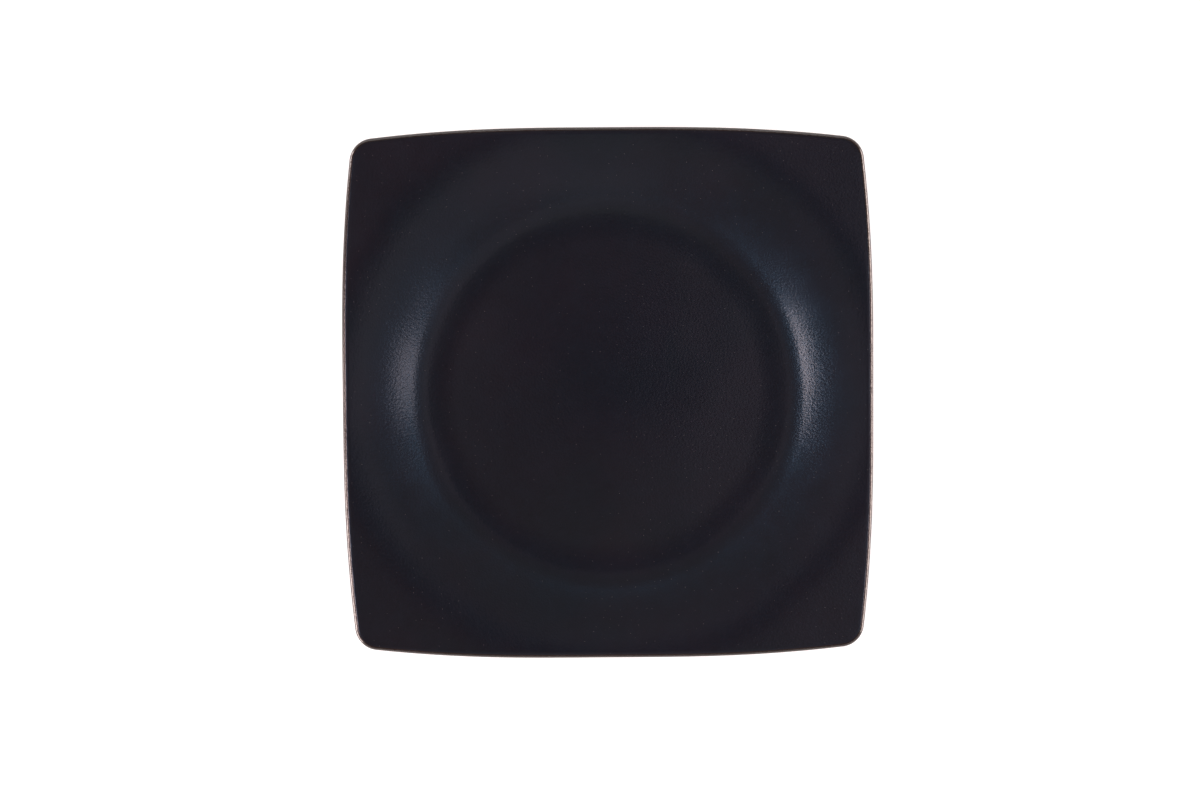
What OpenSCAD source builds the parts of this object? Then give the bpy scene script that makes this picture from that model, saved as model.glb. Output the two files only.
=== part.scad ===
// Square dinner plate of glazed stoneware: bowed sides, small round corners, a round well,
// a domed rim that climbs towards the corners, and a foot ring under the well.
// Millimetres. The foot ring stands on z = 0, Z runs up through the middle of the well,
// and X and Y point at the middles of the sides.

/* [Outline] */
// Width between the middles of opposite sides, over the glaze
plate_w = 267; // [248:1:320]
// How far the middle of a side stands out beyond the side's ends
side_bow = 5.7; // [2:0.1:12]
// Form of the bow, 2 for a parabola and more for a flatter middle
bow_power = 2.6; // [2:0.1:4]
// Radius of the corners, seen from above
corner_r = 12.2; // [6:0.1:28]

/* [Well and rim] */
// Radius of the flat floor
floor_r = 77; // [60:1:84]
// Radius of the shallow curve that leaves the floor
sweep_r = 90; // [50:5:160]
// Slope where the shallow curve ends, in degrees
sweep_angle = 9; // [4:0.5:12]
// Radius of the tighter curve at the foot of the wall
cove_r = 30; // [12:1:60]
// Steepest slope of the wall, in degrees
wall_angle = 29; // [16:1:36]
// Radius of the dome from the wall out over the rim
dome_r = 120; // [50:5:160]
// Slope at which the dome ends and the rim runs straight on to the corners, in degrees
rim_angle = 6; // [1:0.5:10]

/* [Thickness] */
// Clay under the flat floor
floor_t = 5; // [4:0.1:8]
// Clay at the rim
rim_t = 3.4; // [2.6:0.1:6]
// How far the rounded lip reaches in from the edge
lip_run = 2.8; // [1.5:0.1:4]
// Thickness of the glaze
glaze_t = 0.5; // [0.3:0.05:1]

/* [Foot ring] */
// Height of the ring, from the table to the clay above it
foot_h = 3.5; // [2:0.1:6]
// Width of the ring where it joins the clay
foot_w = 7; // [5:0.5:12]
// Lean of the ring's two walls, in degrees
foot_draft = 20; // [5:1:25]
// Radius of the two edges that meet the table
foot_edge_r = 0.8; // [0.4:0.1:1.2]
// How far the ring stands in from the edge of the floor, so that plates nest when stacked
foot_inset = 3; // [2:0.5:15]
// Bare clay wiped clean between the ring and the glaze
wiped_w = 0.8; // [0.3:0.1:1.5]

/* [Hidden] */
clay_colour = [0.62, 0.52, 0.43];
glaze_colour = [0.055, 0.052, 0.065];

// Divisions of the surfaces
side_steps = 14;
corner_steps = 5;
sweep_steps = 2;
cove_steps = 4;
rim_steps = 5;
foot_edge_steps = 4;
round_fn = 96;
// The lip turns from facing up to facing down in this many steps, and the face glaze ends before the last
lip_steps = 6;
seam_step = 5;

// Heights above the table
floor_z = foot_h + floor_t;

// ---- Outline: a smaller bowed square with sharp corners, grown by the corner radius ----
core_w = plate_w / 2 - corner_r;
core_end = core_w - side_bow;
corner_from = atan(side_bow * bow_power / core_end);

function reversed(list) = [for (i = [len(list) - 1 : -1 : 0]) list[i]];

function turned(p, quarter) =
    let (c = cos(90 * quarter), s = sin(90 * quarter))
    [p[0] * c - p[1] * s, p[0] * s + p[1] * c];

// Point and outward direction on the side that faces +X, at u from -1 to 1 along it
function side_at(u) =
    let (
        slope = -side_bow * bow_power * pow(abs(u), bow_power - 1) * sign(u) / core_end,
        out = [1, -slope] / norm([1, -slope])
    )
    [[core_w - side_bow * pow(abs(u), bow_power), u * core_end], out];

// The same on the corner after that side, at t from 0 to 1 round it
function corner_at(t) =
    let (a = corner_from + (90 - 2 * corner_from) * t)
    [[core_end, core_end], [cos(a), sin(a)]];

// Each section is [the point above which the lip starts to turn over, outward direction]
quarter_sections = [
    for (i = [0 : side_steps]) side_at(tan(-45 + 90 * i / side_steps)),
    for (i = [1 : corner_steps - 1]) corner_at(i / corner_steps)
];
sections = [
    for (quarter = [0 : 3])
        for (s = quarter_sections)
            [turned(s[0] + s[1] * (corner_r - lip_run), quarter), turned(s[1], quarter)]
];
section_count = len(sections);

// ---- Profile of the face: a chain of arcs, each tangent to the one before, then a straight rim ----
function along_arc(start, r, from, to, t) =
    let (a = from + (to - from) * t)
    start + r * [sin(a) - sin(from), cos(from) - cos(a)];

floor_end = [floor_r, floor_z];
sweep_end = along_arc(floor_end, sweep_r, 0, sweep_angle, 1);
wall_top = along_arc(sweep_end, cove_r, sweep_angle, wall_angle, 1);
dome_end = along_arc(wall_top, -dome_r, wall_angle, rim_angle, 1);

well_profile = [
    floor_end,
    for (i = [1 : sweep_steps])
        along_arc(floor_end, sweep_r, 0, sweep_angle, i / sweep_steps),
    for (i = [1 : cove_steps])
        along_arc(sweep_end, cove_r, sweep_angle, wall_angle, i / cove_steps)
];

// Slope and height of the clay at a distance from the middle, outside the well
function rim_slope(r) =
    r < dome_end[0] ? asin(sin(wall_angle) - (r - wall_top[0]) / dome_r) : rim_angle;

function rim_z(r) =
    r < dome_end[0]
        ? wall_top[1] + dome_r * (cos(rim_slope(r)) - cos(wall_angle))
        : dome_end[1] + (r - dome_end[0]) * tan(rim_angle);

// The clay thins evenly in and out, from the floor to the lip in the middle of a side
function clay_t(r) =
    let (t = max(0, min(1, (r - floor_r) / (plate_w / 2 - lip_run - floor_r))))
    floor_t + (rim_t - floor_t) * t * t * (3 - 2 * t);

// ---- Rings of points, in order from the floor out, over the lip and back in below ----
// They lie on the clay for a coat of 0, and on the glaze for its thickness
function skin_z(r, face_z, coat, under) = under ? face_z - clay_t(r) - coat : face_z + coat;

function circle_ring(r, z) = [for (s = sections) concat(s[0] / norm(s[0]) * r, z)];

function well_ring(p, coat, under) = circle_ring(p[0], skin_z(p[0], p[1], coat, under));

// At t from 0 on the round wall to 1 where the lip starts
function rim_ring(t, coat, under) = [
    for (s = sections)
        let (
            p = s[0] * (t + (1 - t) * wall_top[0] / norm(s[0])),
            r = norm(p)
        )
        concat(p, skin_z(r, rim_z(r), coat, under))
];

// The lip is half an ellipse whose two ends run on from the rim, above and below
function lip_ring(step, coat) =
    let (reach = lip_run - glaze_t + coat, half = rim_t / 2 + coat)
    [
        for (s = sections)
            let (
                rise = reach * tan(rim_slope(norm(s[0]))) * (s[0] * s[1]) / norm(s[0]),
                share = 180 * step / lip_steps,
                turn = share - asin(rise / half) * (1 - sin(share))
            )
            concat(
                s[0] + s[1] * reach * sin(turn),
                rim_z(norm(s[0])) - rim_t / 2 + sqrt(half * half - rise * rise) * cos(turn)
            )
    ];

function face_rings(coat) = [
    for (p = well_profile) well_ring(p, coat, false),
    for (i = [1 : rim_steps - 1]) rim_ring(i / rim_steps, coat, false),
    for (step = [0 : seam_step]) lip_ring(step, coat)
];

function underside_rings(coat) = [
    for (step = [seam_step : lip_steps]) lip_ring(step, coat),
    for (i = [rim_steps - 1 : -1 : 1]) rim_ring(i / rim_steps, coat, true),
    for (p = reversed(well_profile)) well_ring(p, coat, true),
    circle_ring(foot_r + wiped_w, foot_h - coat)
];

// ---- Skins: bands of triangles between rings, with the outside up or turned over ----
function triangle(a, b, c, over) = over ? [a, c, b] : [a, b, c];

function band(first, second, over) = [
    for (k = [0 : section_count - 1])
        let (a = first * section_count, b = second * section_count, next = (k + 1) % section_count)
        each [
            triangle(a + k, a + next, b + next, over),
            triangle(a + k, b + next, b + k, over)
        ]
];

function bands(first, last, over) = [
    for (i = [first : 1 : last - 1]) each band(i, i + 1, over)
];

function disc(ring, over) = [
    [
        for (i = [0 : section_count - 1])
            ring * section_count + (over ? i : section_count - 1 - i)
    ]
];

function joined(rings) = [for (ring = rings) each ring];

// A coat between two skins that have the same rings, open at the floor or closed by a disc
module coat(inner, outer, with_floor) {
    last = len(inner) - 1;
    first_outer = last + 1;
    last_outer = 2 * last + 1;
    polyhedron(
        points = joined(concat(inner, outer)),
        faces = concat(
            bands(first_outer, last_outer, false),
            bands(0, last, true),
            band(last_outer, last, false),
            with_floor
                ? concat(disc(first_outer, false), disc(0, true))
                : band(first_outer, 0, true)
        )
    );
}

// ---- Foot ring ----
foot_r = floor_r - foot_inset;
foot_well_r = foot_r - foot_w - wiped_w;

// Half section of one leaning wall: from the clay down to the rounded edge on the table
function foot_wall(root, side) =
    let (
        turn = 90 - foot_draft,
        toe = root - side * (foot_h * tan(foot_draft) + foot_edge_r * tan(turn / 2))
    )
    [
        [root, foot_h],
        for (i = [0 : foot_edge_steps])
            let (a = turn * (1 - i / foot_edge_steps))
            [toe + side * foot_edge_r * sin(a), foot_edge_r * (1 - cos(a))]
    ];

module clay_body() {
    below = underside_rings(0);
    rings = concat(face_rings(0), [for (i = [1 : len(below) - 1]) below[i]]);
    last = len(rings) - 1;
    color(clay_colour)
        polyhedron(
            points = joined(rings),
            faces = concat(disc(0, false), bands(0, last, false), disc(last, true))
        );
}

module foot_ring() {
    color(clay_colour)
        rotate_extrude($fn = round_fn)
            polygon(concat(foot_wall(foot_r, 1), reversed(foot_wall(foot_r - foot_w, -1))));
}

module face_glaze() {
    color(glaze_colour)
        coat(face_rings(0), face_rings(glaze_t), true);
}

module underside_glaze() {
    color(glaze_colour)
        coat(underside_rings(0), underside_rings(glaze_t), false);
}

module foot_well_glaze() {
    color(glaze_colour)
        translate([0, 0, foot_h - glaze_t])
            cylinder(r = foot_well_r, h = glaze_t, $fn = round_fn);
}

clay_body();
foot_ring();
face_glaze();
underside_glaze();
foot_well_glaze();
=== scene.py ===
"""Square dinner plate of satin black stoneware, in metres, with +Z up out of its well.

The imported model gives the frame: the foot ring stands on z = 0, and the middle of the well is on
the Z axis. Each solid of the plate gets a dense smooth skin of the same form, and its own finish.
"""

import math
from typing import NamedTuple

import bpy
import numpy as np
from bpy.props import FloatProperty, FloatVectorProperty, PointerProperty
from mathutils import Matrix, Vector


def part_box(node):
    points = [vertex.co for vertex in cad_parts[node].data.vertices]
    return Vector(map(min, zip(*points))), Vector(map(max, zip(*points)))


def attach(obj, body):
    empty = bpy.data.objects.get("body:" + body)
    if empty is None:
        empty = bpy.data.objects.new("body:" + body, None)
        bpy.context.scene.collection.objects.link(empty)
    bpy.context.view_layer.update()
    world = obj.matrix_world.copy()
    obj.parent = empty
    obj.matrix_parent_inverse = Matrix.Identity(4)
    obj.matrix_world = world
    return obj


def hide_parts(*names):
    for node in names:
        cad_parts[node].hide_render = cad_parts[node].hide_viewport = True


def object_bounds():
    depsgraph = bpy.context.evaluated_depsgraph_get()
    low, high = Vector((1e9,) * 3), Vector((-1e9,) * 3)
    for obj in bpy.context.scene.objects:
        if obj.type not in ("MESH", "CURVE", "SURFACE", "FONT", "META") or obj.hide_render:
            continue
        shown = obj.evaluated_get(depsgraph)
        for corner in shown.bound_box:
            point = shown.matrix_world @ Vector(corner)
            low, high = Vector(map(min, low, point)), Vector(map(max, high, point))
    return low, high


bl_info = {
    "name": "Square Dinner Plate",
    "version": (1, 0, 0),
    "blender": (4, 5, 0),
    "location": "View3D > Sidebar > Plate",
    "description": "Builds a square stoneware dinner plate, its glazes and a small photo studio",
    "category": "Add Mesh",
}

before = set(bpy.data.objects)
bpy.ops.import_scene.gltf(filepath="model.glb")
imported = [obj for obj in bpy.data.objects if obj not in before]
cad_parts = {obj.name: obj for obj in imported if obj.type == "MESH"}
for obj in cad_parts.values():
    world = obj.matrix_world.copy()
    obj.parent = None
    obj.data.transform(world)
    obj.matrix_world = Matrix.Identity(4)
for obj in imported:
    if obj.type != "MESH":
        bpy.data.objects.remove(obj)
cad_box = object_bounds()

MM = 0.001

# Fine divisions of the skins
SIDE_STEPS = 56
CORNER_STEPS = 22
FLOOR_STEPS = 14
SWEEP_STEPS = 10
COVE_STEPS = 14
RIM_STEPS = 24
LIP_STEPS = 36
EDGE_STEPS = 5
ROUND_STEPS = 256

# Share of the lip's turn at which the glaze of the face meets that of the underside
SEAM = 5 / 6
# An edge that turns by more than this stays sharp
SHARP_ANGLE = math.radians(40)


# ---- Sizes and finishes that a user may change ----


def length(name, default, description):
    """A size in metres."""
    return FloatProperty(
        name=name, description=description, default=default, min=0, unit="LENGTH", precision=5
    )


def angle(name, degrees, description):
    """An angle, given here in degrees."""
    return FloatProperty(
        name=name, description=description, default=math.radians(degrees), subtype="ANGLE"
    )


def colour(name, default, description):
    """A linear colour."""
    return FloatVectorProperty(
        name=name,
        description=description,
        default=default,
        size=3,
        min=0,
        max=1,
        subtype="COLOR",
    )


def share(name, default, description):
    """A number from 0 to 1."""
    return FloatProperty(
        name=name, description=description, default=default, min=0, max=1, subtype="FACTOR"
    )


class PlateSizes(bpy.types.PropertyGroup):
    """Sizes of the plate. The frame gives those that its boxes show."""

    plate_w: length(
        "Width", cad_box[1].x - cad_box[0].x, "Width between the middles of opposite sides"
    )
    side_bow: length(
        "Side bow", 5.7 * MM, "How far the middle of a side stands out beyond its ends"
    )
    bow_power: FloatProperty(
        name="Bow power", description="Form of the bow, 2 for a parabola", default=2.6
    )
    corner_r: length("Corner radius", 12.2 * MM, "Radius of the corners, seen from above")
    floor_r: length("Floor radius", 77 * MM, "Radius of the flat floor of the well")
    sweep_r: length("Sweep radius", 90 * MM, "Radius of the shallow curve that leaves the floor")
    sweep_angle: angle("Sweep angle", 9, "Slope where the shallow curve ends")
    cove_r: length("Cove radius", 30 * MM, "Radius of the tighter curve at the foot of the wall")
    wall_angle: angle("Wall angle", 29, "Steepest slope of the wall")
    dome_r: length("Dome radius", 120 * MM, "Radius of the dome from the wall out over the rim")
    rim_angle: angle(
        "Rim angle", 6, "Slope at which the dome ends and the rim runs straight on to the corners"
    )
    floor_z: length(
        "Floor height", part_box("face_glaze")[0].z, "Height of the clay's floor over the table"
    )
    rim_t: length("Rim thickness", 3.4 * MM, "Thickness of the clay at the rim")
    lip_run: length("Lip run", 2.8 * MM, "How far the rounded lip reaches in from the edge")
    glaze_t: length("Glaze thickness", 0.5 * MM, "Thickness of the glaze")
    foot_h: length("Foot height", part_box("clay_body")[0].z, "Height of the foot ring")
    foot_r: length(
        "Foot radius",
        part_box("foot_ring")[1].x,
        "Outer radius of the foot ring where it joins the clay",
    )
    foot_w: length("Foot width", 7 * MM, "Width of the foot ring where it joins the clay")
    foot_draft: angle("Foot draft", 20, "Lean of the foot ring's walls")
    foot_edge_r: length("Foot edge radius", 0.8 * MM, "Radius of the two edges that meet the table")
    foot_well_r: length(
        "Foot well radius",
        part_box("foot_well_glaze")[1].x,
        "Radius of the glaze inside the foot ring",
    )
    wiped_w: length("Wiped line", 0.8 * MM, "Bare clay wiped clean beside the foot ring")


class PlateFinishes(bpy.types.PropertyGroup):
    """Colours and gloss of the glaze and the clay."""

    glaze: colour("Glaze", (0.0036, 0.0004, 0.0008), "Colour of the black glaze")
    glaze_mottle: colour(
        "Glaze mottle", (0.0055, 0.001, 0.0018), "Lighter colour in the glaze's faint clouds"
    )
    glaze_break: colour(
        "Glaze break", (0.085, 0.05, 0.03), "Colour where the glaze runs thin over the lip"
    )
    speck: colour("Speck", (0.12, 0.12, 0.13), "Colour of the fine pale specks")
    haze_tint: colour(
        "Haze tint", (0.08, 0.53, 1.0), "Tint of the wide soft haze round a highlight"
    )
    lip_tint: colour("Lip tint", (1.0, 0.85, 0.8), "Tint of the highlight on the glossier lip")
    haze: share("Haze", 0.42, "Strength of the wide soft haze")
    skin: share("Skin", 0.48, "Strength of the glaze's clear skin")
    roughness: share("Satin roughness", 0.37, "Roughness of the satin glaze")
    lip_roughness: share("Lip roughness", 0.16, "Roughness of the glossier lip")
    skin_roughness: share("Skin roughness", 0.205, "Roughness of the glaze's clear skin")
    clay: colour("Clay", (0.42, 0.33, 0.25), "Colour of the bare buff clay")
    clay_dark: colour("Clay specks", (0.13, 0.075, 0.045), "Colour of the iron specks in the clay")
    clay_toast: colour(
        "Toasted clay", (0.3, 0.17, 0.09), "Colour of the toasted line beside the glaze"
    )


class PlateStudio(bpy.types.PropertyGroup):
    """Camera and light of the small studio round the plate."""

    lens: FloatProperty(
        name="Lens", description="Focal length in millimetres", default=41.58, unit="CAMERA"
    )
    camera_at: FloatVectorProperty(
        name="Camera",
        description="Place of the camera",
        default=(-0.0072, 0.0206, 0.7202),
        subtype="TRANSLATION",
    )
    camera_turn: FloatVectorProperty(
        name="Camera turn",
        description="Tilt about X, tilt about Y and roll about Z",
        default=(math.radians(-1.96), math.radians(-0.25), math.radians(-0.37)),
        subtype="EULER",
    )
    room: colour("Room", (0.35, 0.21, 0.15), "Dim light of the room")
    ceiling: colour("Ceiling", (0.3, 0.06, 0.02), "Dimmer light straight above the plate")
    paper: colour("Paper", (0.5, 0.5, 0.5), "Colour of the white paper under the lamps")
    near_white: share(
        "White near the plate", 0.78, "How white the paper near the plate shows before it is lit"
    )


# ---- The plate's form ----


def outline_sections(sizes):
    """Sections round the outline: points where the lip starts to turn over, and ways out."""
    core_w = sizes.plate_w / 2 - sizes.corner_r
    core_end = core_w - sizes.side_bow
    corner_from = math.atan(sizes.side_bow * sizes.bow_power / core_end)
    points, outs = [], []
    for i in range(SIDE_STEPS + 1):
        u = math.tan(math.pi / 2 * (i / SIDE_STEPS - 0.5))
        bow = sizes.side_bow * abs(u) ** sizes.bow_power
        lean = sizes.side_bow * sizes.bow_power * abs(u) ** (sizes.bow_power - 1) / core_end
        points.append((core_w - bow, u * core_end))
        outs.append((1.0, math.copysign(lean, u)))
    for i in range(1, CORNER_STEPS):
        turn = corner_from + (math.pi / 2 - 2 * corner_from) * i / CORNER_STEPS
        points.append((core_end, core_end))
        outs.append((math.cos(turn), math.sin(turn)))
    points, outs = np.array(points), np.array(outs)
    outs /= np.linalg.norm(outs, axis=1)[:, None]
    points += outs * (sizes.corner_r - sizes.lip_run)
    quarter_turn = np.array([[0.0, 1.0], [-1.0, 0.0]])
    all_points, all_outs = [points], [outs]
    for _ in range(3):
        all_points.append(all_points[-1] @ quarter_turn)
        all_outs.append(all_outs[-1] @ quarter_turn)
    return np.concatenate(all_points), np.concatenate(all_outs)


def well_profile(sizes):
    """Radius and height of the clay's face, from the floor's edge to the top of the wall."""
    points = [(sizes.floor_r, sizes.floor_z)]
    arcs = (
        (sizes.sweep_r, 0.0, sizes.sweep_angle, SWEEP_STEPS),
        (sizes.cove_r, sizes.sweep_angle, sizes.wall_angle, COVE_STEPS),
    )
    for radius, start, end, steps in arcs:
        r, z = points[-1]
        for i in range(1, steps + 1):
            a = start + (end - start) * i / steps
            run = radius * (math.sin(a) - math.sin(start))
            rise = radius * (math.cos(start) - math.cos(a))
            points.append((r + run, z + rise))
    return points


def rim_form(sizes, r):
    """Height and slope of the clay's face past the well: a dome, then straight to the corners."""
    wall_r, wall_z = well_profile(sizes)[-1]
    steepest = math.sin(sizes.wall_angle)
    dome_end = wall_r + sizes.dome_r * (steepest - math.sin(sizes.rim_angle))
    slope = np.arcsin(steepest - (np.minimum(r, dome_end) - wall_r) / sizes.dome_r)
    height = wall_z + sizes.dome_r * (np.cos(slope) - math.cos(sizes.wall_angle))
    return height + np.maximum(r - dome_end, 0) * math.tan(sizes.rim_angle), slope


def clay_thickness(sizes, r):
    """The clay thins evenly from the floor to the lip in the middle of a side."""
    t = np.clip((r - sizes.floor_r) / (sizes.plate_w / 2 - sizes.lip_run - sizes.floor_r), 0, 1)
    floor_t = sizes.floor_z - sizes.foot_h
    return floor_t + (sizes.rim_t - floor_t) * t * t * (3 - 2 * t)


def skin_height(sizes, r, face_z, coat, under):
    """Height of a skin that lies a coat's thickness off the clay, above it or under it."""
    return face_z - clay_thickness(sizes, r) - coat if under else face_z + coat


def circle_ring(sizes, r, z):
    """A ring of the plate's sections at one radius and height."""
    points, _ = outline_sections(sizes)
    around = points / np.linalg.norm(points, axis=1)[:, None]
    return np.column_stack([around * r, np.full(len(points), z)])


def rim_ring(sizes, t, coat, under):
    """A ring on the rim, at t from 0 on the round wall to 1 where the lip starts."""
    points, _ = outline_sections(sizes)
    away = np.linalg.norm(points, axis=1)
    wall_r = well_profile(sizes)[-1][0]
    on_rim = points * (t + (1 - t) * wall_r / away)[:, None]
    r = np.linalg.norm(on_rim, axis=1)
    return np.column_stack([on_rim, skin_height(sizes, r, rim_form(sizes, r)[0], coat, under)])


def lip_rings(sizes, coat, first, last):
    """Rings between two shares of the lip, half an ellipse whose ends run on from the rim."""
    points, outs = outline_sections(sizes)
    away = np.linalg.norm(points, axis=1)
    height, slope = rim_form(sizes, away)
    reach = sizes.lip_run - sizes.glaze_t + coat
    half = sizes.rim_t / 2 + coat
    rise = reach * np.tan(slope) * np.sum(points * outs, axis=1) / away
    half_height = np.sqrt(half**2 - rise**2)
    lean = np.arcsin(rise / half)
    steps = round(LIP_STEPS * (last - first))
    rings = []
    for i in range(steps + 1):
        part = math.pi * (first + (last - first) * i / steps)
        turn = part - lean * (1 - math.sin(part))
        on_lip = points + outs * (reach * np.sin(turn))[:, None]
        lip_z = height - sizes.rim_t / 2 + half_height * np.cos(turn)
        rings.append(np.column_stack([on_lip, lip_z]))
    return rings


def face_rings(sizes, coat):
    """Rings of the face from near the middle of the floor to the seam under the lip."""
    floor_z = sizes.floor_z + coat
    rings = []
    for i in range(1, FLOOR_STEPS):
        rings.append(circle_ring(sizes, sizes.floor_r * i / FLOOR_STEPS, floor_z))
    rings += [circle_ring(sizes, r, z + coat) for r, z in well_profile(sizes)]
    rings += [rim_ring(sizes, i / RIM_STEPS, coat, False) for i in range(1, RIM_STEPS)]
    return rings + lip_rings(sizes, coat, 0.0, SEAM)


def underside_rings(sizes, coat):
    """Rings of the underside from the seam under the lip to the line beside the foot ring."""
    rings = lip_rings(sizes, coat, SEAM, 1.0)
    rings += [rim_ring(sizes, i / RIM_STEPS, coat, True) for i in range(RIM_STEPS - 1, 0, -1)]
    for r, z in reversed(well_profile(sizes)):
        rings.append(circle_ring(sizes, r, skin_height(sizes, r, z, coat, True)))
    rings.append(circle_ring(sizes, sizes.foot_r + sizes.wiped_w + coat, sizes.foot_h - coat))
    return rings


def foot_profile(sizes):
    """Section of the foot ring, from its outer root round the toe to its inner root."""
    turn = math.pi / 2 - sizes.foot_draft
    run = sizes.foot_h * math.tan(sizes.foot_draft) + sizes.foot_edge_r * math.tan(turn / 2)
    half = []
    for i in range(EDGE_STEPS + 1):
        a = turn * (1 - i / EDGE_STEPS)
        half.append((-run + sizes.foot_edge_r * math.sin(a), sizes.foot_edge_r * (1 - math.cos(a))))
    outer = [(sizes.foot_r, sizes.foot_h)] + [(sizes.foot_r + x, z) for x, z in half]
    inner_r = sizes.foot_r - sizes.foot_w
    inner = [(inner_r - x, z) for x, z in reversed(half)] + [(inner_r, sizes.foot_h)]
    return outer + inner


def foot_well_profile(sizes):
    """Section of the glaze inside the foot ring, out along its top and back below."""
    r, t, top = sizes.foot_well_r, sizes.glaze_t, sizes.foot_h
    upper = [(r * i / FLOOR_STEPS, top) for i in range(1, FLOOR_STEPS)]
    edge = []
    for a in np.linspace(0, math.pi / 2, EDGE_STEPS + 1):
        edge.append((r - t * (1 - math.cos(a)), top - t * math.sin(a)))
    lower = [((r - t) * i / FLOOR_STEPS, top - t) for i in range(FLOOR_STEPS - 1, 0, -1)]
    return upper + edge + lower


# ---- Meshes ----


def skin_faces(ring_count, per_ring, first=0, over=False):
    """Quads between rings that follow each other, facing out or turned over."""
    faces = []
    for i in range(ring_count - 1):
        a = first + i * per_ring
        b = a + per_ring
        for k in range(per_ring):
            n = (k + 1) % per_ring
            quad = (a + k, a + n, b + n, b + k)
            faces.append(quad[::-1] if over else quad)
    return faces


def fan_faces(centre, first, per_ring, over=False):
    """Triangles from a middle point to a ring, facing up or turned over."""
    faces = []
    for k in range(per_ring):
        side = (centre, first + (k + 1) % per_ring, first + k)
        faces.append(side if over else side[::-1])
    return faces


def coat_mesh(name, inner, outer, with_floor):
    """A closed coat between two skins with as many rings, open at the floor or closed by a fan."""
    per_ring = len(inner[0])
    points = np.concatenate(inner + outer)
    first_outer = len(inner) * per_ring
    faces = skin_faces(len(inner), per_ring, 0, True)
    faces += skin_faces(len(outer), per_ring, first_outer)
    last_inner = first_outer - per_ring
    last_outer = len(points) - per_ring
    for k in range(per_ring):
        n = (k + 1) % per_ring
        faces.append((last_outer + k, last_outer + n, last_inner + n, last_inner + k))
        if not with_floor:
            faces.append((k, n, first_outer + n, first_outer + k))
    if with_floor:
        middles = np.array([[0, 0, inner[0][0][2]], [0, 0, outer[0][0][2]]])
        faces += fan_faces(len(points), 0, per_ring, True)
        faces += fan_faces(len(points) + 1, first_outer, per_ring)
        points = np.concatenate([points, middles])
    return made_mesh(name, points, faces)


def solid_mesh(name, rings):
    """A closed solid from rings that start and end flat."""
    per_ring = len(rings[0])
    points = np.concatenate(rings)
    faces = skin_faces(len(rings), per_ring)
    middles = np.array([[0, 0, rings[0][0][2]], [0, 0, rings[-1][0][2]]])
    faces += fan_faces(len(points), 0, per_ring)
    faces += fan_faces(len(points) + 1, len(points) - per_ring, per_ring, True)
    return made_mesh(name, np.concatenate([points, middles]), faces)


def turned_mesh(name, profile, closed):
    """A profile turned about the Z axis: a ring, or a solid whose two ends close on the axis."""
    angles = np.arange(ROUND_STEPS) * 2 * math.pi / ROUND_STEPS
    around = np.column_stack([np.cos(angles), np.sin(angles)])
    rings = [np.column_stack([around * r, np.full(ROUND_STEPS, z)]) for r, z in profile]
    if not closed:
        return solid_mesh(name, rings)
    points = np.concatenate(rings)
    faces = skin_faces(len(rings), ROUND_STEPS)
    last = len(points) - ROUND_STEPS
    for k in range(ROUND_STEPS):
        n = (k + 1) % ROUND_STEPS
        faces.append((last + k, last + n, n, k))
    return made_mesh(name, points, faces)


def made_mesh(name, points, faces):
    """A smooth mesh object inside the frame's box, whose true edges stay sharp."""
    points[:, 2] = np.minimum(points[:, 2], cad_box[1].z)
    mesh = bpy.data.meshes.new(name)
    mesh.from_pydata([tuple(p) for p in points.tolist()], [], faces)
    if mesh.validate():
        raise RuntimeError(f"{name} has faces that do not close")
    mesh.update()
    mesh.polygons.foreach_set("use_smooth", [True] * len(mesh.polygons))
    mesh.set_sharp_from_angle(angle=SHARP_ANGLE)
    piece = bpy.data.objects.new(name, mesh)
    bpy.context.scene.collection.objects.link(piece)
    return piece


def mark_lip(piece, sizes):
    """Stores on each point how far out over the lip it lies, from 0 on the rim to 1 at the edge."""
    points, outs = outline_sections(sizes)
    mesh = piece.data
    co = np.zeros(len(mesh.vertices) * 3)
    mesh.vertices.foreach_get("co", co)
    co = co.reshape(-1, 3)
    section = np.arange(len(co)) % len(points)
    reach = np.sum((co[:, :2] - points[section]) * outs[section], axis=1) / sizes.lip_run
    lip = mesh.attributes.new("lip", "FLOAT", "POINT")
    lip.data.foreach_set("value", np.clip(reach, 0, 1).astype(np.float32))


def place(piece, node, material):
    """Gives the piece its finish, and lets it stand for its node."""
    piece.data.materials.append(material)
    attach(piece, "root")
    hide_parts(node)


# ---- Shader nodes ----

# Sockets of the Mix node for colours, whose names its other sockets share
MIX_A, MIX_B, MIX_RESULT = 6, 7, 2


def set_inputs(tree, node, inputs):
    """Sets a node's inputs to values, or links them to sockets."""
    for name, value in inputs.items():
        if isinstance(value, bpy.types.NodeSocket):
            tree.links.new(value, node.inputs[name])
        else:
            node.inputs[name].default_value = value


def add_node(tree, kind, inputs=None, **settings):
    """A node with its settings and its inputs."""
    made = tree.nodes.new(kind)
    for name, value in settings.items():
        setattr(made, name, value)
    set_inputs(tree, made, inputs or {})
    return made


def computed(tree, operation, *values):
    """The result of a sum on numbers or sockets."""
    return add_node(
        tree, "ShaderNodeMath", dict(enumerate(values)), operation=operation
    ).outputs[0]


def mixed(tree, factor, a, b):
    """A colour mixed from two by a factor."""
    inputs = {"Factor": factor}
    for socket, value in ((MIX_A, a), (MIX_B, b)):
        inputs[socket] = value if isinstance(value, bpy.types.NodeSocket) else (*value, 1)
    return add_node(tree, "ShaderNodeMix", inputs, data_type="RGBA").outputs[MIX_RESULT]


def ramped(tree, value, low, high, to_low=0.0, to_high=1.0):
    """A value carried smoothly from one range to another."""
    inputs = {
        "Value": value,
        "From Min": low,
        "From Max": high,
        "To Min": to_low,
        "To Max": to_high,
    }
    made = add_node(tree, "ShaderNodeMapRange", inputs, interpolation_type="SMOOTHSTEP")
    return made.outputs["Result"]


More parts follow.
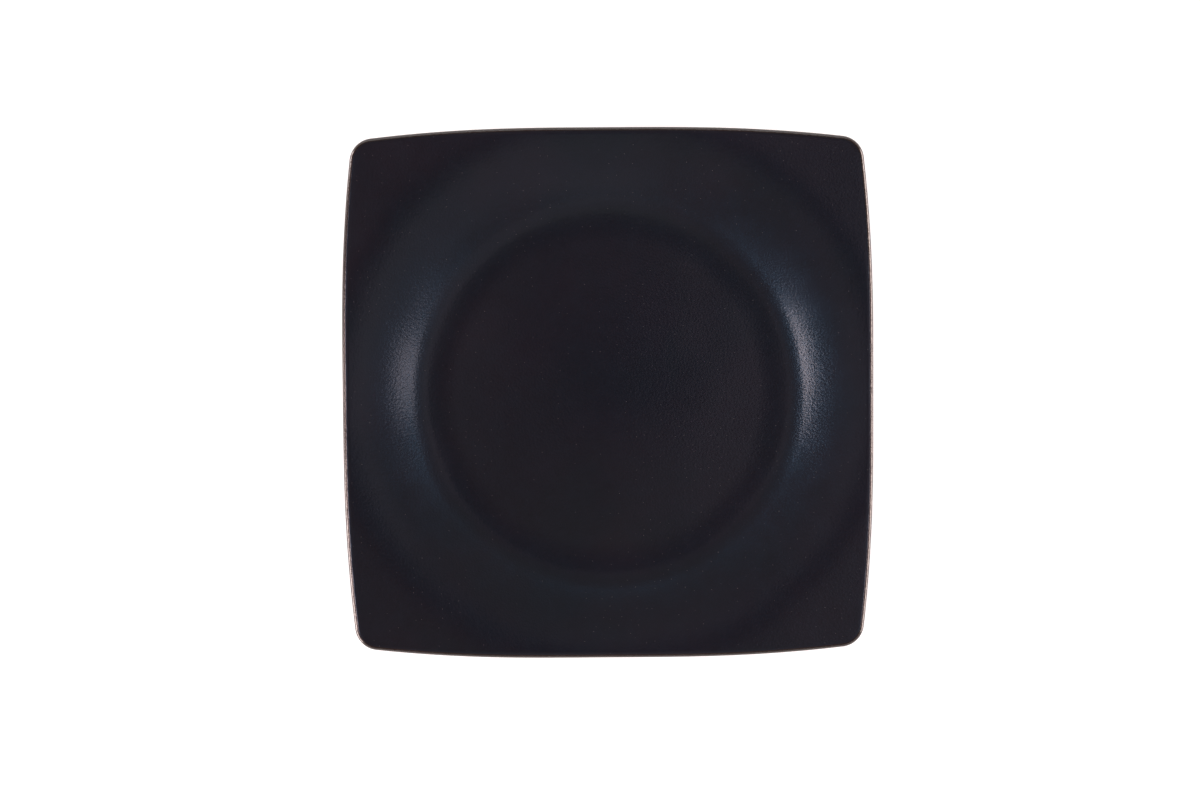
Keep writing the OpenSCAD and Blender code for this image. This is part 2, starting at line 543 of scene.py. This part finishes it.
def noise(tree, coords, size, detail):
    """Noise whose features measure about this size."""
    inputs = {"Vector": coords, "Scale": 1 / size, "Detail": detail}
    return add_node(tree, "ShaderNodeTexNoise", inputs).outputs["Fac"]


def bumped(tree, height, distance, strength, below=None):
    """A bump of this height, over another."""
    inputs = {"Height": height, "Distance": distance, "Strength": strength}
    if below is not None:
        inputs["Normal"] = below
    return add_node(tree, "ShaderNodeBump", inputs).outputs["Normal"]


def new_material(name):
    """An empty material, its tree, its main shader and the object's own coordinates."""
    material = bpy.data.materials.new(name)
    material.use_nodes = True
    tree = material.node_tree
    coords = add_node(tree, "ShaderNodeTexCoord").outputs["Object"]
    return material, tree, tree.nodes["Principled BSDF"], coords


# ---- Finishes ----


class Patches(NamedTuple):
    """Soft patches: their size, the noise's detail, and where in it they start and are full."""

    size: float
    detail: float
    start: float
    full: float


class Relief(NamedTuple):
    """Fine relief: the size of its features, the noise's detail, its height and its strength."""

    size: float
    detail: float
    height: float
    strength: float


class Specks(NamedTuple):
    """Small round dots, one to a cell: the cell's width and the dot's radius."""

    cell: float
    radius: float


# Share of a dot's radius that is solid
SPECK_CORE = 0.6

# The glaze
GLAZE_CLOUDS = Patches(45 * MM, 3, 0.35, 0.7)
GLAZE_SPECKS = Specks(4.3 * MM, 0.17 * MM)
SPECK_CROWDS = Patches(35 * MM, 2, 0.35, 0.75)
FEWEST_SPECKS, MOST_SPECKS = 0.08, 0.6
SATIN_PATCHES = Patches(9 * MM, 4, 0.3, 0.7)
SATIN_CHANGE = 0.02
GLAZE_WARP = Relief(60 * MM, 1, 1.3 * MM, 1.0)
GLAZE_PEEL = Relief(5 * MM, 2, 0.02 * MM, 0.35)
GLAZE_GRAIN = Relief(1.1 * MM, 2, 0.095 * MM, 1.0)
GLAZE_IOR = 1.5

# How far out over the lip the glaze turns glossier, and where it runs thin along a ragged line
GLOSS_FROM, GLOSS_TO = 0.2, 0.45
THIN_FROM, THIN_TO = 0.955, 1.015
RAGGED_SIZE, RAGGED_DETAIL, RAGGED_SHARE = 1.5 * MM, 3, 0.04

# The bare clay
CLAY_CLOUDS = Patches(12 * MM, 4, 0.3, 0.7)
CLAY_LIGHTER = 1.12
IRON_SPECKS = Specks(1.6 * MM, 0.16 * MM)
IRON_SHARE = 0.4
CLAY_SAND = Relief(0.35 * MM, 4, 0.05 * MM, 0.6)
CLAY_ROUGHNESS = 0.86
CLAY_SPECULAR = 0.35

# How far from the glaze the toasted line starts, and where it is full
TOAST_START, TOAST_FULL = 1.6 * MM, 0.2 * MM
# Fine rings left by turning the foot
TURNING_STEP, TURNING_HEIGHT, TURNING_STRENGTH = 0.7 * MM, 0.02 * MM, 0.4


def patches(tree, coords, form, to_low=0.0, to_high=1.0):
    """A value that changes softly in patches from one number to another."""
    field = noise(tree, coords, form.size, form.detail)
    return ramped(tree, field, form.start, form.full, to_low, to_high)


def relief(tree, coords, form, below=None):
    """Fine relief over another."""
    field = noise(tree, coords, form.size, form.detail)
    return bumped(tree, field, form.height, form.strength, below)


def specks(tree, coords, form, kept):
    """Dots seen from above, faint to strong, in this share of the cells."""
    cells = add_node(
        tree,
        "ShaderNodeTexVoronoi",
        {"Vector": coords, "Scale": 1 / form.cell},
        voronoi_dimensions="2D",
    ).outputs
    chance = add_node(tree, "ShaderNodeSeparateColor", {"Color": cells["Color"]}).outputs
    edge = form.radius / form.cell
    dot = ramped(tree, cells["Distance"], edge * SPECK_CORE, edge, chance["Green"], 0.0)
    chosen = computed(tree, "LESS_THAN", chance["Red"], kept)
    return computed(tree, "MULTIPLY", dot, chosen)


def satin_glaze(name, finishes):
    """Near-black satin glaze: faint clouds, pale specks, fine grain, and a warm line on the lip."""
    material, tree, shader, coords = new_material(name)
    base = mixed(
        tree, patches(tree, coords, GLAZE_CLOUDS), finishes.glaze, finishes.glaze_mottle
    )
    kept = patches(tree, coords, SPECK_CROWDS, FEWEST_SPECKS, MOST_SPECKS)
    base = mixed(tree, specks(tree, coords, GLAZE_SPECKS, kept), base, finishes.speck)
    lip = add_node(tree, "ShaderNodeAttribute", attribute_name="lip").outputs["Fac"]
    wander = noise(tree, coords, RAGGED_SIZE, RAGGED_DETAIL)
    ragged = computed(tree, "MULTIPLY_ADD", wander, RAGGED_SHARE, lip)
    base = mixed(tree, ramped(tree, ragged, THIN_FROM, THIN_TO), base, finishes.glaze_break)
    glossy = ramped(tree, lip, GLOSS_FROM, GLOSS_TO)
    rough = ramped(
        tree, lip, GLOSS_FROM, GLOSS_TO, finishes.roughness, finishes.lip_roughness
    )
    uneven = patches(tree, coords, SATIN_PATCHES, -SATIN_CHANGE, SATIN_CHANGE)
    surface = relief(tree, coords, GLAZE_WARP)
    surface = relief(tree, coords, GLAZE_PEEL, surface)
    surface = relief(tree, coords, GLAZE_GRAIN, surface)
    set_inputs(
        tree,
        shader,
        {
            "Base Color": base,
            "Roughness": computed(tree, "ADD", uneven, rough),
            "IOR": GLAZE_IOR,
            "Specular IOR Level": finishes.haze,
            "Specular Tint": mixed(tree, glossy, finishes.haze_tint, finishes.lip_tint),
            "Coat Weight": finishes.skin,
            "Coat Roughness": finishes.skin_roughness,
            "Coat IOR": GLAZE_IOR,
            "Normal": surface,
            "Coat Normal": surface,
        },
    )
    return material


def bare_clay(name, finishes, sizes):
    """Buff clay, matte and slightly sandy, with iron specks and a toasted line by the glaze."""
    material, tree, shader, coords = new_material(name)
    lighter = tuple(min(1.0, c * CLAY_LIGHTER) for c in finishes.clay)
    base = mixed(tree, patches(tree, coords, CLAY_CLOUDS), finishes.clay, lighter)
    base = mixed(tree, specks(tree, coords, IRON_SPECKS, IRON_SHARE), base, finishes.clay_dark)
    level = add_node(
        tree, "ShaderNodeVectorMath", {0: coords, 1: (1.0, 1.0, 0.0)}, operation="MULTIPLY"
    )
    away = add_node(
        tree, "ShaderNodeVectorMath", {0: level.outputs["Vector"]}, operation="LENGTH"
    ).outputs["Value"]
    glaze_r = sizes.foot_r + sizes.wiped_w
    toasted = ramped(tree, away, glaze_r - TOAST_START, glaze_r - TOAST_FULL)
    base = mixed(tree, toasted, base, finishes.clay_toast)
    turns = computed(tree, "MULTIPLY", away, 2 * math.pi / TURNING_STEP)
    rings = computed(tree, "SINE", turns)
    surface = bumped(tree, rings, TURNING_HEIGHT, TURNING_STRENGTH)
    surface = relief(tree, coords, CLAY_SAND, surface)
    set_inputs(
        tree,
        shader,
        {
            "Base Color": base,
            "Roughness": CLAY_ROUGHNESS,
            "Specular IOR Level": CLAY_SPECULAR,
            "Normal": surface,
        },
    )
    return material


# ---- One operator for each piece ----


class PLATE_OT_clay_body(bpy.types.Operator):
    """Adds the fired clay shell under the glaze: floor, wall, rim and rounded lip"""

    bl_idname = "plate.clay_body"
    bl_label = "Clay Body"

    def execute(self, context):
        sizes, finishes = context.scene.plate_sizes, context.scene.plate_finishes
        piece = solid_mesh("clay_shell", face_rings(sizes, 0.0) + underside_rings(sizes, 0.0)[1:])
        place(piece, "clay_body", bare_clay("buff_clay_body", finishes, sizes))
        return {"FINISHED"}


class PLATE_OT_foot_ring(bpy.types.Operator):
    """Adds the bare clay ring that the plate stands on"""

    bl_idname = "plate.foot_ring"
    bl_label = "Foot Ring"

    def execute(self, context):
        sizes, finishes = context.scene.plate_sizes, context.scene.plate_finishes
        piece = turned_mesh("foot", foot_profile(sizes), True)
        place(piece, "foot_ring", bare_clay("buff_clay_foot", finishes, sizes))
        return {"FINISHED"}


class PLATE_OT_face_glaze(bpy.types.Operator):
    """Adds the satin black glaze over the face and round the lip"""

    bl_idname = "plate.face_glaze"
    bl_label = "Face Glaze"

    def execute(self, context):
        sizes, finishes = context.scene.plate_sizes, context.scene.plate_finishes
        inner, outer = face_rings(sizes, 0.0), face_rings(sizes, sizes.glaze_t)
        piece = coat_mesh("glaze_face", inner, outer, True)
        mark_lip(piece, sizes)
        place(piece, "face_glaze", satin_glaze("black_glaze_face", finishes))
        return {"FINISHED"}


class PLATE_OT_underside_glaze(bpy.types.Operator):
    """Adds the glaze under the rim and the wall, down to the wiped line beside the foot ring"""

    bl_idname = "plate.underside_glaze"
    bl_label = "Underside Glaze"

    def execute(self, context):
        sizes, finishes = context.scene.plate_sizes, context.scene.plate_finishes
        inner, outer = underside_rings(sizes, 0.0), underside_rings(sizes, sizes.glaze_t)
        piece = coat_mesh("glaze_underside", inner, outer, False)
        mark_lip(piece, sizes)
        glaze = satin_glaze("black_glaze_underside", finishes)
        place(piece, "underside_glaze", glaze)
        return {"FINISHED"}


class PLATE_OT_foot_well_glaze(bpy.types.Operator):
    """Adds the round patch of glaze inside the foot ring"""

    bl_idname = "plate.foot_well_glaze"
    bl_label = "Foot Well Glaze"

    def execute(self, context):
        sizes, finishes = context.scene.plate_sizes, context.scene.plate_finishes
        piece = turned_mesh("glaze_foot_well", foot_well_profile(sizes), False)
        glaze = satin_glaze("black_glaze_foot_well", finishes)
        place(piece, "foot_well_glaze", glaze)
        return {"FINISHED"}


# ---- Studio, in metres ----


class Lamp(NamedTuple):
    """A softbox: its place about the plate in degrees and metres, its size and its radiance."""

    name: str
    azimuth: float
    elevation: float
    distance: float
    width: float
    height: float
    radiance: tuple


LAMPS = (
    Lamp("left_lamp_high", 189.8, 42.9, 1.21, 0.42, 0.15, (18.8, 14.4, 14.0)),
    Lamp("left_lamp_low", 203.5, 10.7, 1.35, 1.0, 0.42, (17.0, 14.6, 14.4)),
    Lamp("left_lamp_far", 157.5, 10.8, 1.34, 0.42, 0.42, (13.0, 11.6, 11.6)),
    Lamp("right_lamp_high", 350.6, 44.4, 1.21, 0.29, 0.18, (7.2, 5.8, 6.0)),
    Lamp("right_lamp_low", 0.0, 11.3, 1.27, 1.3, 0.42, (12.5, 10.8, 10.2)),
    Lamp("overhead_right", 0.0, 77.0, 1.25, 0.4, 0.28, (0.68, 0.68, 0.72)),
    Lamp("overhead_left", 180.0, 77.0, 1.25, 0.4, 0.28, (0.42, 0.46, 0.5)),
    Lamp("back_low", 95.0, 24.0, 1.35, 1.4, 0.5, (0.9, 1.05, 1.1)),
    Lamp("back_high", 90.0, 60.0, 1.25, 1.3, 0.7, (0.07, 0.11, 0.12)),
    Lamp("overhead_back", 90.0, 77.0, 1.25, 0.3, 0.28, (0.2, 0.3, 0.34)),
    Lamp("overhead_front", 270.0, 77.0, 1.25, 0.3, 0.28, (0.1, 0.26, 0.2)),
    Lamp("front_high", 300.0, 63.0, 1.25, 1.1, 0.62, (0.26, 0.25, 0.27)),
    Lamp("front_low", 270.0, 44.0, 1.25, 0.5, 0.5, (0.2, 0.2, 0.22)),
    Lamp("under_table", 120.0, -62.0, 1.3, 1.4, 1.0, (1.7, 1.3, 1.15)),
)

FLOOR_W = 8.0
WALL_R, WALL_H = 2.6, 1.3
# How far from the plate the paper starts to whiten, and where it is plain white
WHITENS_FROM, WHITENS_TO = 0.5, 1.6
# The black card over the plate, just above the camera
SHADE_AT, SHADE_R = (0.034, 0.015, 0.735), 0.08
CARD_BLACK = 0.001
# Height of a direction in the room, up to 1 overhead, where the ceiling starts and is full
CEILING_FROM, CEILING_TO = 0.88, 0.98
# Width of the camera's film, in millimetres
FILM_W = 36


def circle(centre, radius):
    """Points evenly round a level circle."""
    turns = [i * 2 * math.pi / ROUND_STEPS for i in range(ROUND_STEPS)]
    return [
        Vector(centre) + Vector((radius * math.cos(a), radius * math.sin(a), 0)) for a in turns
    ]


def studio_mesh(name, points, faces, material):
    """A part of the studio, which isn't part of the plate."""
    mesh = bpy.data.meshes.new(name)
    mesh.from_pydata(points, [], faces)
    mesh.materials.append(material)
    made = bpy.data.objects.new(name, mesh)
    bpy.context.scene.collection.objects.link(made)
    return made


def white_paper(studio):
    """White paper: it takes shadows, shows as plain white, and can't be seen from behind."""
    material, tree, shader, coords = new_material("white_paper")
    away = add_node(tree, "ShaderNodeVectorMath", {0: coords}, operation="LENGTH")
    white = ramped(
        tree, away.outputs["Value"], WHITENS_FROM, WHITENS_TO, studio.near_white, 1.0
    )
    behind = add_node(tree, "ShaderNodeNewGeometry").outputs["Backfacing"]
    rays = add_node(tree, "ShaderNodeLightPath").outputs
    seen = computed(tree, "MAXIMUM", rays["Is Camera Ray"], rays["Is Glossy Ray"])
    set_inputs(
        tree,
        shader,
        {
            "Base Color": (*studio.paper, 1),
            "Roughness": 1.0,
            "Specular IOR Level": 0.0,
            "Emission Color": (1, 1, 1, 1),
            "Emission Strength": computed(tree, "MULTIPLY", seen, white),
            "Alpha": computed(tree, "SUBTRACT", 1.0, behind),
        },
    )
    return material


def black_card():
    """Black card that gives nothing back."""
    material, tree, shader, _ = new_material("black_card")
    black = (CARD_BLACK, CARD_BLACK, CARD_BLACK, 1)
    set_inputs(tree, shader, {"Base Color": black, "Roughness": 1.0, "Specular IOR Level": 0.0})
    return material


def add_backdrop(paper):
    """The paper floor, which lets the lamp under it through, and a low round wall about it."""
    half = FLOOR_W / 2
    corners = [(-half, -half, 0), (half, -half, 0), (half, half, 0), (-half, half, 0)]
    floor = studio_mesh("paper_floor", corners, [(0, 1, 2, 3)], paper)
    floor.visible_shadow = False
    faces = []
    for k in range(ROUND_STEPS):
        n = (k + 1) % ROUND_STEPS
        faces.append((n, k, ROUND_STEPS + k, ROUND_STEPS + n))
    points = circle((0, 0, 0), WALL_R) + circle((0, 0, WALL_H), WALL_R)
    studio_mesh("paper_wall", points, faces, paper)


def add_shade():
    """The round black card that the middle of the plate mirrors, hidden from the camera."""
    face = tuple(range(ROUND_STEPS))
    shade = studio_mesh("camera_shade", circle(SHADE_AT, SHADE_R), [face], black_card())
    shade.visible_camera = False


def add_lamp(lamp):
    """A rectangular lamp that faces the plate, as bright all over as its radiance says."""
    data = bpy.data.lights.new(lamp.name, "AREA")
    data.shape = "RECTANGLE"
    data.size, data.size_y = lamp.width, lamp.height
    level = max(lamp.radiance)
    data.color = [c / level for c in lamp.radiance]
    data.energy = math.pi * lamp.width * lamp.height * level
    around, up = math.radians(lamp.azimuth), math.radians(lamp.elevation)
    away = Vector(
        (math.cos(up) * math.cos(around), math.cos(up) * math.sin(around), math.sin(up))
    )
    softbox = bpy.data.objects.new(lamp.name, data)
    softbox.location = away * lamp.distance
    softbox.rotation_euler = (-away).to_track_quat("-Z", "Y").to_euler()
    softbox.visible_camera = False
    bpy.context.scene.collection.objects.link(softbox)


def room_world(studio):
    """Dim light from the room, dimmer overhead, that the camera sees as plain white."""
    world = bpy.data.worlds.new("room")
    world.use_nodes = True
    tree = world.node_tree
    direction = add_node(tree, "ShaderNodeTexCoord").outputs["Generated"]
    height = add_node(tree, "ShaderNodeSeparateXYZ", {"Vector": direction}).outputs["Z"]
    overhead = ramped(tree, height, CEILING_FROM, CEILING_TO)
    dim = mixed(tree, overhead, studio.room, studio.ceiling)
    seen = add_node(tree, "ShaderNodeLightPath").outputs["Is Camera Ray"]
    shown = mixed(tree, seen, dim, (1.0, 1.0, 1.0))
    set_inputs(tree, tree.nodes["Background"], {"Color": shown})
    return world


def photo_camera(studio):
    """The camera, almost straight above the plate."""
    data = bpy.data.cameras.new("camera")
    data.lens = studio.lens
    data.sensor_width = FILM_W
    camera = bpy.data.objects.new("camera", data)
    camera.rotation_mode = "ZXY"
    camera.location = studio.camera_at
    camera.rotation_euler = studio.camera_turn
    bpy.context.scene.collection.objects.link(camera)
    return camera


class PLATE_OT_studio(bpy.types.Operator):
    """Adds the paper, the black card, the lamps, the room and the camera"""

    bl_idname = "plate.studio"
    bl_label = "Studio"

    def execute(self, context):
        studio = context.scene.plate_studio
        add_backdrop(white_paper(studio))
        add_shade()
        for lamp in LAMPS:
            add_lamp(lamp)
        context.scene.world = room_world(studio)
        context.scene.camera = photo_camera(studio)
        context.scene.view_settings.view_transform = "Standard"
        return {"FINISHED"}


MAKER_OPERATORS = (
    PLATE_OT_clay_body,
    PLATE_OT_foot_ring,
    PLATE_OT_face_glaze,
    PLATE_OT_underside_glaze,
    PLATE_OT_foot_well_glaze,
    PLATE_OT_studio,
)


class PLATE_PT_maker(bpy.types.Panel):
    """Lists what makes the plate's pieces and its studio, with their sizes and finishes"""

    bl_idname = "PLATE_PT_maker"
    bl_label = "Square Dinner Plate"
    bl_space_type = "VIEW_3D"
    bl_region_type = "UI"
    bl_category = "Plate"

    def draw(self, context):
        scene = context.scene
        for operator in MAKER_OPERATORS:
            self.layout.operator(operator.bl_idname)
        for group in (scene.plate_sizes, scene.plate_finishes, scene.plate_studio):
            box = self.layout.box()
            for name in group.bl_rna.properties.keys():
                if name not in ("rna_type", "name"):
                    box.prop(group, name)


CLASSES = (PlateSizes, PlateFinishes, PlateStudio, *MAKER_OPERATORS, PLATE_PT_maker)


def register():
    for cls in CLASSES:
        bpy.utils.register_class(cls)
    bpy.types.Scene.plate_sizes = PointerProperty(type=PlateSizes)
    bpy.types.Scene.plate_finishes = PointerProperty(type=PlateFinishes)
    bpy.types.Scene.plate_studio = PointerProperty(type=PlateStudio)


def unregister():
    del bpy.types.Scene.plate_studio
    del bpy.types.Scene.plate_finishes
    del bpy.types.Scene.plate_sizes
    for cls in reversed(CLASSES):
        bpy.utils.unregister_class(cls)


def main():
    register()
    bpy.ops.plate.clay_body()
    bpy.ops.plate.foot_ring()
    bpy.ops.plate.face_glaze()
    bpy.ops.plate.underside_glaze()
    bpy.ops.plate.foot_well_glaze()
    bpy.ops.plate.studio()


if __name__ == "__main__":
    main()
